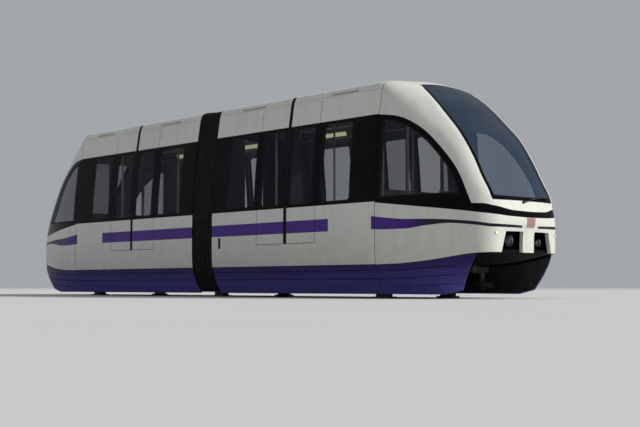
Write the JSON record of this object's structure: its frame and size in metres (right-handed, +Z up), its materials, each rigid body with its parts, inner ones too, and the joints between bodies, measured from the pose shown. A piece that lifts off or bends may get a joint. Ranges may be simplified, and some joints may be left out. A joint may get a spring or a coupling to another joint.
{
  "type": "articulated straddle monorail car",
  "caption": "Straddle monorail car in two sections joined by a bellows gangway, with rounded noses, flush plug doors, black window bands and deep skirts over its bogies",
  "frame": {"origin": "On the floor below the gangway pivot, in the middle of the length and width of the car.", "axes": "+X points to the front nose, +Y to the car's left side, +Z up."},
  "size_m": [12.11, 2.304, 3.272],
  "materials": {
    "body": "satin off-white paint",
    "skirt": "satin purple paint",
    "glazing": "dark tinted",
    "structure": "dull grey paint",
    "black_trim": "matte",
    "bellows_rubber": "matte",
    "tyre_rubber": "matte",
    "seat": "moulded shell"
  },
  "bodies": {
    "front": {"front_roof": "body", "front_side_wall_left": "body", "front_side_wall_right": "body", "front_door_left_inner": "body", "front_door_left_outer": "body", "front_door_right_inner": "body", "front_door_right_outer": "body", "front_skirt_left": "skirt", "front_skirt_right": "skirt", "front_nose_shell": "body", "front_windscreen": "glazing", "front_underframe": "structure", "front_gangway_frame": "black_trim", "front_seats": "seat", "front_drivers_desk": "black_trim", "front_lamp_tray": "black_trim", "bellows": "bellows_rubber", "gangway_plate": "structure"},
    "rear": {"rear_roof": "body", "rear_side_wall_left": "body", "rear_side_wall_right": "body", "rear_door_left_inner": "body", "rear_door_left_outer": "body", "rear_door_right_inner": "body", "rear_door_right_outer": "body", "rear_skirt_left": "skirt", "rear_skirt_right": "skirt", "rear_nose_shell": "body", "rear_windscreen": "glazing", "rear_underframe": "structure", "rear_gangway_frame": "black_trim", "rear_seats": "seat", "rear_drivers_desk": "black_trim", "rear_lamp_tray": "black_trim"},
    "running_frame_front": {"bogie_front": "structure"},
    "wheelset_front": {"axle_front": "tyre_rubber"},
    "guide_wheel_front_front_left": {"guide_front_front_left": "tyre_rubber"},
    "guide_wheel_front_front_right": {"guide_front_front_right": "tyre_rubber"},
    "guide_wheel_front_rear_left": {"guide_front_rear_left": "tyre_rubber"},
    "guide_wheel_front_rear_right": {"guide_front_rear_right": "tyre_rubber"},
    "running_frame_middle": {"bogie_middle": "structure"},
    "wheelset_middle": {"axle_middle": "tyre_rubber"},
    "guide_wheel_middle_front_left": {"guide_middle_front_left": "tyre_rubber"},
    "guide_wheel_middle_front_right": {"guide_middle_front_right": "tyre_rubber"},
    "guide_wheel_middle_rear_left": {"guide_middle_rear_left": "tyre_rubber"},
    "guide_wheel_middle_rear_right": {"guide_middle_rear_right": "tyre_rubber"},
    "running_frame_rear": {"bogie_rear": "structure"},
    "wheelset_rear": {"axle_rear": "tyre_rubber"},
    "guide_wheel_rear_front_left": {"guide_rear_front_left": "tyre_rubber"},
    "guide_wheel_rear_front_right": {"guide_rear_front_right": "tyre_rubber"},
    "guide_wheel_rear_rear_left": {"guide_rear_rear_left": "tyre_rubber"},
    "guide_wheel_rear_rear_right": {"guide_rear_rear_right": "tyre_rubber"}
  },
  "joints": [
    {"name": "articulation", "type": "hinge", "parent": "front", "child": "rear", "pos_m": [0, 0, 0.81], "axis": [0, 0, 1], "range_deg": [-12, 12], "deforming": ["bellows"]},
    {"name": "swivel_front", "type": "hinge", "parent": "front", "child": "running_frame_front", "pos_m": [3.9, 0, 0.775], "axis": [0, 0, 1], "range_deg": [-6, 6]},
    {"name": "axle_spin_front", "type": "hinge", "parent": "running_frame_front", "child": "wheelset_front", "pos_m": [3.9, 0, 0.57], "axis": [0, 1, 0], "continuous": true},
    {"name": "guide_spin_front_front_left", "type": "hinge", "parent": "running_frame_front", "child": "guide_wheel_front_front_left", "pos_m": [4.7, 0.57, 0.2], "axis": [0, 0, 1], "continuous": true},
    {"name": "guide_spin_front_front_right", "type": "hinge", "parent": "running_frame_front", "child": "guide_wheel_front_front_right", "pos_m": [4.7, -0.57, 0.2], "axis": [0, 0, 1], "continuous": true},
    {"name": "guide_spin_front_rear_left", "type": "hinge", "parent": "running_frame_front", "child": "guide_wheel_front_rear_left", "pos_m": [3.1, 0.57, 0.2], "axis": [0, 0, 1], "continuous": true},
    {"name": "guide_spin_front_rear_right", "type": "hinge", "parent": "running_frame_front", "child": "guide_wheel_front_rear_right", "pos_m": [3.1, -0.57, 0.2], "axis": [0, 0, 1], "continuous": true},
    {"name": "swivel_middle", "type": "hinge", "parent": "front", "child": "running_frame_middle", "pos_m": [0, 0, 0.775], "axis": [0, 0, 1], "range_deg": [-6, 6]},
    {"name": "axle_spin_middle", "type": "hinge", "parent": "running_frame_middle", "child": "wheelset_middle", "pos_m": [0, 0, 0.57], "axis": [0, 1, 0], "continuous": true},
    {"name": "guide_spin_middle_front_left", "type": "hinge", "parent": "running_frame_middle", "child": "guide_wheel_middle_front_left", "pos_m": [0.8, 0.57, 0.2], "axis": [0, 0, 1], "continuous": true},
    {"name": "guide_spin_middle_front_right", "type": "hinge", "parent": "running_frame_middle", "child": "guide_wheel_middle_front_right", "pos_m": [0.8, -0.57, 0.2], "axis": [0, 0, 1], "continuous": true},
    {"name": "guide_spin_middle_rear_left", "type": "hinge", "parent": "running_frame_middle", "child": "guide_wheel_middle_rear_left", "pos_m": [-0.8, 0.57, 0.2], "axis": [0, 0, 1], "continuous": true},
    {"name": "guide_spin_middle_rear_right", "type": "hinge", "parent": "running_frame_middle", "child": "guide_wheel_middle_rear_right", "pos_m": [-0.8, -0.57, 0.2], "axis": [0, 0, 1], "continuous": true},
    {"name": "swivel_rear", "type": "hinge", "parent": "rear", "child": "running_frame_rear", "pos_m": [-3.9, 0, 0.775], "axis": [0, 0, 1], "range_deg": [-6, 6]},
    {"name": "axle_spin_rear", "type": "hinge", "parent": "running_frame_rear", "child": "wheelset_rear", "pos_m": [-3.9, 0, 0.57], "axis": [0, 1, 0], "continuous": true},
    {"name": "guide_spin_rear_front_left", "type": "hinge", "parent": "running_frame_rear", "child": "guide_wheel_rear_front_left", "pos_m": [-3.1, 0.57, 0.2], "axis": [0, 0, 1], "continuous": true},
    {"name": "guide_spin_rear_front_right", "type": "hinge", "parent": "running_frame_rear", "child": "guide_wheel_rear_front_right", "pos_m": [-3.1, -0.57, 0.2], "axis": [0, 0, 1], "continuous": true},
    {"name": "guide_spin_rear_rear_left", "type": "hinge", "parent": "running_frame_rear", "child": "guide_wheel_rear_rear_left", "pos_m": [-4.7, 0.57, 0.2], "axis": [0, 0, 1], "continuous": true},
    {"name": "guide_spin_rear_rear_right", "type": "hinge", "parent": "running_frame_rear", "child": "guide_wheel_rear_rear_right", "pos_m": [-4.7, -0.57, 0.2], "axis": [0, 0, 1], "continuous": true}
  ],
  "couplings": [
    {"joint": "swivel_middle", "follows": "articulation", "ratio": 0.5}
  ]
}
